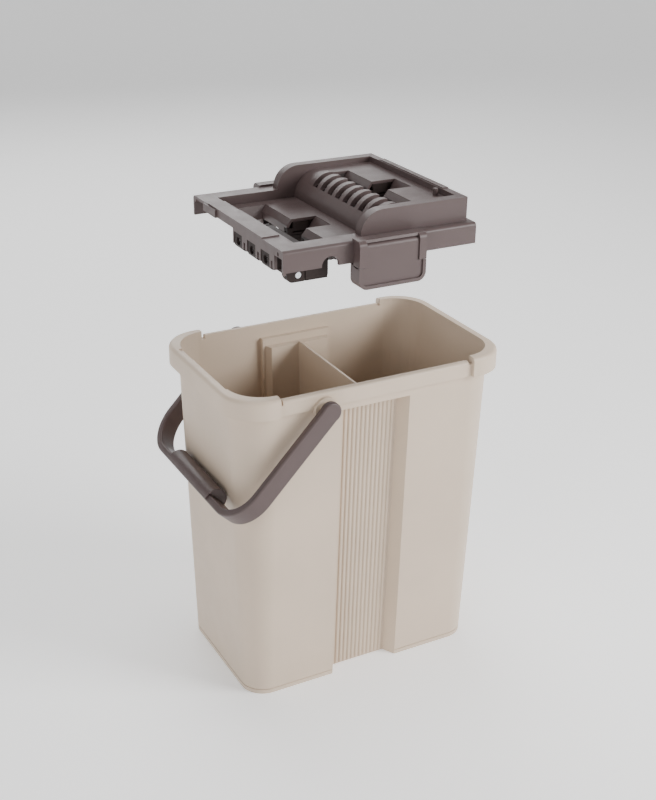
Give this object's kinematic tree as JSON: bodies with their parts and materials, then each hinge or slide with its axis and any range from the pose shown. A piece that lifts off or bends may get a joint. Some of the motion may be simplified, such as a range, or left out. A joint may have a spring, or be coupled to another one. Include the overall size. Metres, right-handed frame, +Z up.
{
  "type": "flat mop bucket with squeezer",
  "caption": "Rectangular twin-tank mop bucket with a swinging carrying handle and a latched lift-off cover that washes and squeezes a flat mop through slots with sprung scrapers.",
  "frame": {"origin": "centre of the bucket's flat underside", "axes": "+Z up, X along the bucket's long side with the handle towards -X, -Y towards the front"},
  "size_m": [0.3321, 0.234, 0.534],
  "materials": {
    "bucket_plastic": "fine moulded grain, satin",
    "cover_plastic": "fine moulded grain, satin",
    "housing_plastic": "fine moulded grain",
    "steel": "bright, plated"
  },
  "bodies": {
    "bucket_body": {"bucket": "bucket_plastic", "divider": "bucket_plastic", "pivot_pins": "steel"},
    "handle": {"handle_bail": "cover_plastic", "handle_grip": "cover_plastic"},
    "squeezer": {"squeezer_cover": "cover_plastic", "wash_housing": "housing_plastic", "wash_guide": "housing_plastic", "dry_housing": "housing_plastic", "dry_guide": "housing_plastic", "housing_screws": "steel", "front_latch_pin": "steel", "rear_latch_pin": "steel", "wash_springs": "steel", "dry_springs": "steel"},
    "wash_scraper_set": {"wash_scraper": "housing_plastic", "wash_guide_pins": "steel"},
    "dry_scraper_set": {"dry_scraper": "housing_plastic", "dry_guide_pins": "steel"},
    "front_latch_flap": {"front_latch": "cover_plastic"},
    "rear_latch_flap": {"rear_latch": "cover_plastic"}
  },
  "joints": [
    {"name": "handle_swing", "type": "hinge", "parent": "bucket_body", "child": "handle", "pos_m": [-0.062, 0, 0.339], "axis": [0, 1, 0], "range_deg": [0, 112]},
    {"name": "squeezer_lift", "type": "slide", "parent": "bucket_body", "child": "squeezer", "axis": [0, 0, 1], "range_m": [-0.15, 0]},
    {"name": "wash_scraper_slide", "type": "slide", "parent": "squeezer", "child": "wash_scraper_set", "axis": [1, 0, 0], "range_m": [-0.003, 0], "stiffness_N_per_m": 1500, "springref_m": 0.001, "deforming": ["wash_springs"]},
    {"name": "dry_scraper_slide", "type": "slide", "parent": "squeezer", "child": "dry_scraper_set", "axis": [1, 0, 0], "range_m": [-0.003, 0], "stiffness_N_per_m": 1500, "springref_m": 0.001, "deforming": ["dry_springs"]},
    {"name": "front_latch_turn", "type": "hinge", "parent": "squeezer", "child": "front_latch_flap", "pos_m": [0, -0.1105, 0.503], "axis": [-1, 0, 0], "range_deg": [-8, 50]},
    {"name": "rear_latch_turn", "type": "hinge", "parent": "squeezer", "child": "rear_latch_flap", "pos_m": [0, 0.1105, 0.503], "axis": [1, 0, 0], "range_deg": [-8, 50]}
  ]
}
